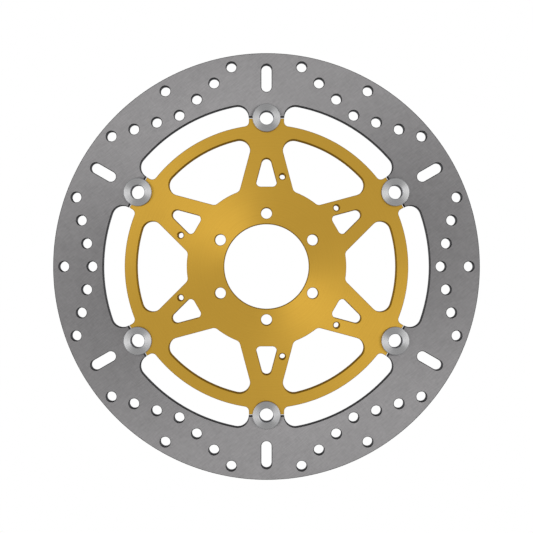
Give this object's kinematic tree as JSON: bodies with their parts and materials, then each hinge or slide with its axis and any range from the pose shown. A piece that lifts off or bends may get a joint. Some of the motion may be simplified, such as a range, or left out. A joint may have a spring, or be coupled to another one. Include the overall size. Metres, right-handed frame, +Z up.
{
  "type": "motorcycle brake disc",
  "caption": "Floating front brake disc for a motorcycle: a drilled and slotted steel friction ring carried on a gold spoked carrier by hollow bobbins.",
  "frame": {"origin": "centre of the carrier's bore, in the plane of its hub mounting face", "axes": "the disc stands upright: +Y along the disc's axis towards the wheel hub, the outer face looks to -Y, +Z up, one bobbin at the top"},
  "size_m": [0.32, 0.0106, 0.32],
  "materials": {
    "ground_steel": "ground on both faces, fine crossing scratches, broken edges",
    "gold_anodising": "turned face, gold anodised, satin",
    "turned_alloy": "turned, fine concentric rings",
    "spring_steel": "oiled spring steel, dull",
    "plated_steel": "zinc plated, satin"
  },
  "bodies": {
    "carrier": {"carrier": "gold_anodising"},
    "friction_ring": {"friction_ring": "ground_steel"},
    "bobbin_set_1": {"bobbin_1": "turned_alloy", "wave_washer_1": "spring_steel", "flat_washer_1": "plated_steel", "circlip_1": "spring_steel"},
    "bobbin_set_2": {"bobbin_2": "turned_alloy", "wave_washer_2": "spring_steel", "flat_washer_2": "plated_steel", "circlip_2": "spring_steel"},
    "bobbin_set_3": {"bobbin_3": "turned_alloy", "wave_washer_3": "spring_steel", "flat_washer_3": "plated_steel", "circlip_3": "spring_steel"},
    "bobbin_set_4": {"bobbin_4": "turned_alloy", "wave_washer_4": "spring_steel", "flat_washer_4": "plated_steel", "circlip_4": "spring_steel"},
    "bobbin_set_5": {"bobbin_5": "turned_alloy", "wave_washer_5": "spring_steel", "flat_washer_5": "plated_steel", "circlip_5": "spring_steel"},
    "bobbin_set_6": {"bobbin_6": "turned_alloy", "wave_washer_6": "spring_steel", "flat_washer_6": "plated_steel", "circlip_6": "spring_steel"}
  },
  "joints": [
    {"name": "ring_float", "type": "slide", "parent": "carrier", "child": "friction_ring", "axis": [0, 1, 0], "range_m": [-0.0002, 0.0002], "stiffness_N_per_m": 20000},
    {"name": "bobbin_turn_1", "type": "hinge", "parent": "carrier", "child": "bobbin_set_1", "pos_m": [0, 0, 0.1113], "axis": [0, 1, 0], "continuous": true},
    {"name": "bobbin_turn_2", "type": "hinge", "parent": "carrier", "child": "bobbin_set_2", "pos_m": [0.09639, 0, 0.05565], "axis": [0, 1, 0], "continuous": true},
    {"name": "bobbin_turn_3", "type": "hinge", "parent": "carrier", "child": "bobbin_set_3", "pos_m": [0.09639, 0, -0.05565], "axis": [0, 1, 0], "continuous": true},
    {"name": "bobbin_turn_4", "type": "hinge", "parent": "carrier", "child": "bobbin_set_4", "pos_m": [0, 0, -0.1113], "axis": [0, 1, 0], "continuous": true},
    {"name": "bobbin_turn_5", "type": "hinge", "parent": "carrier", "child": "bobbin_set_5", "pos_m": [-0.09639, 0, -0.05565], "axis": [0, 1, 0], "continuous": true},
    {"name": "bobbin_turn_6", "type": "hinge", "parent": "carrier", "child": "bobbin_set_6", "pos_m": [-0.09639, 0, 0.05565], "axis": [0, 1, 0], "continuous": true}
  ]
}
